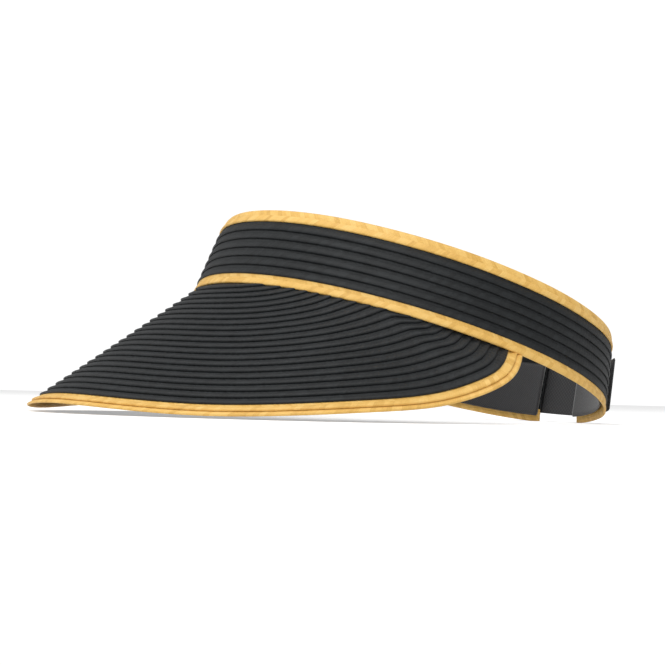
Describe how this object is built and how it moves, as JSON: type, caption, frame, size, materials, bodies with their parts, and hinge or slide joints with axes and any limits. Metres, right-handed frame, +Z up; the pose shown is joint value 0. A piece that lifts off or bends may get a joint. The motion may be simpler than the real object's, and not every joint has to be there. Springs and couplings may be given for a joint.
{
  "type": "sun visor",
  "caption": "Open-crown sun visor of overlapping plaited-straw rows: a leaning oval head band, a deep curved brim with natural edging, and a hook-and-loop strap at the back.",
  "frame": {"origin": "centre of the head opening, in the plane of the band's lower rim", "axes": "+Z up as it stands on a table, -Y towards the front of the brim, +X towards the wearer's left; the band's own axis leans back 16.9 degrees in the YZ plane"},
  "size_m": [0.2171, 0.2763, 0.0892],
  "materials": {
    "black_straw": "flat plaited paper straw, satin",
    "natural_straw": "flat plaited natural straw, satin",
    "sweatband_cloth": "woven cotton, matt",
    "strap_webbing": "woven tape, matt",
    "loop_tape": "soft looped pile",
    "hook_tape": "rows of small moulded hooks"
  },
  "bodies": {
    "visor": {"band_bottom_row": "natural_straw", "band_row_01": "black_straw", "band_row_02": "black_straw", "band_row_03": "black_straw", "band_row_04": "black_straw", "band_row_05": "black_straw", "band_row_06": "black_straw", "band_top_row": "natural_straw", "brim_edge_row": "natural_straw", "brim_edge_under_row": "natural_straw", "brim_row_01": "black_straw", "brim_row_02": "black_straw", "brim_row_03": "black_straw", "brim_row_04": "black_straw", "brim_row_05": "black_straw", "brim_row_06": "black_straw", "brim_row_07": "black_straw", "brim_row_08": "black_straw", "brim_row_09": "black_straw", "brim_row_10": "black_straw", "brim_row_11": "black_straw", "brim_row_12": "black_straw", "brim_row_13": "black_straw", "brim_row_14": "black_straw", "brim_row_15": "black_straw", "brim_row_16": "black_straw", "brim_row_17": "black_straw", "brim_row_18": "black_straw", "brim_row_19": "black_straw", "brim_row_20": "black_straw", "brim_row_21": "black_straw", "loop_patch": "loop_tape", "strap_anchor": "strap_webbing", "sweatband": "sweatband_cloth"},
    "closure_tab": {"strap_tab": "strap_webbing", "hook_patch": "hook_tape"}
  },
  "joints": [
    {"name": "tab_peel", "type": "hinge", "parent": "visor", "child": "closure_tab", "pos_m": [-0.01336, 0.09896, -0.01282], "axis": [0.0266, 0.1817, 0.983], "range_deg": [0, 70]}
  ]
}
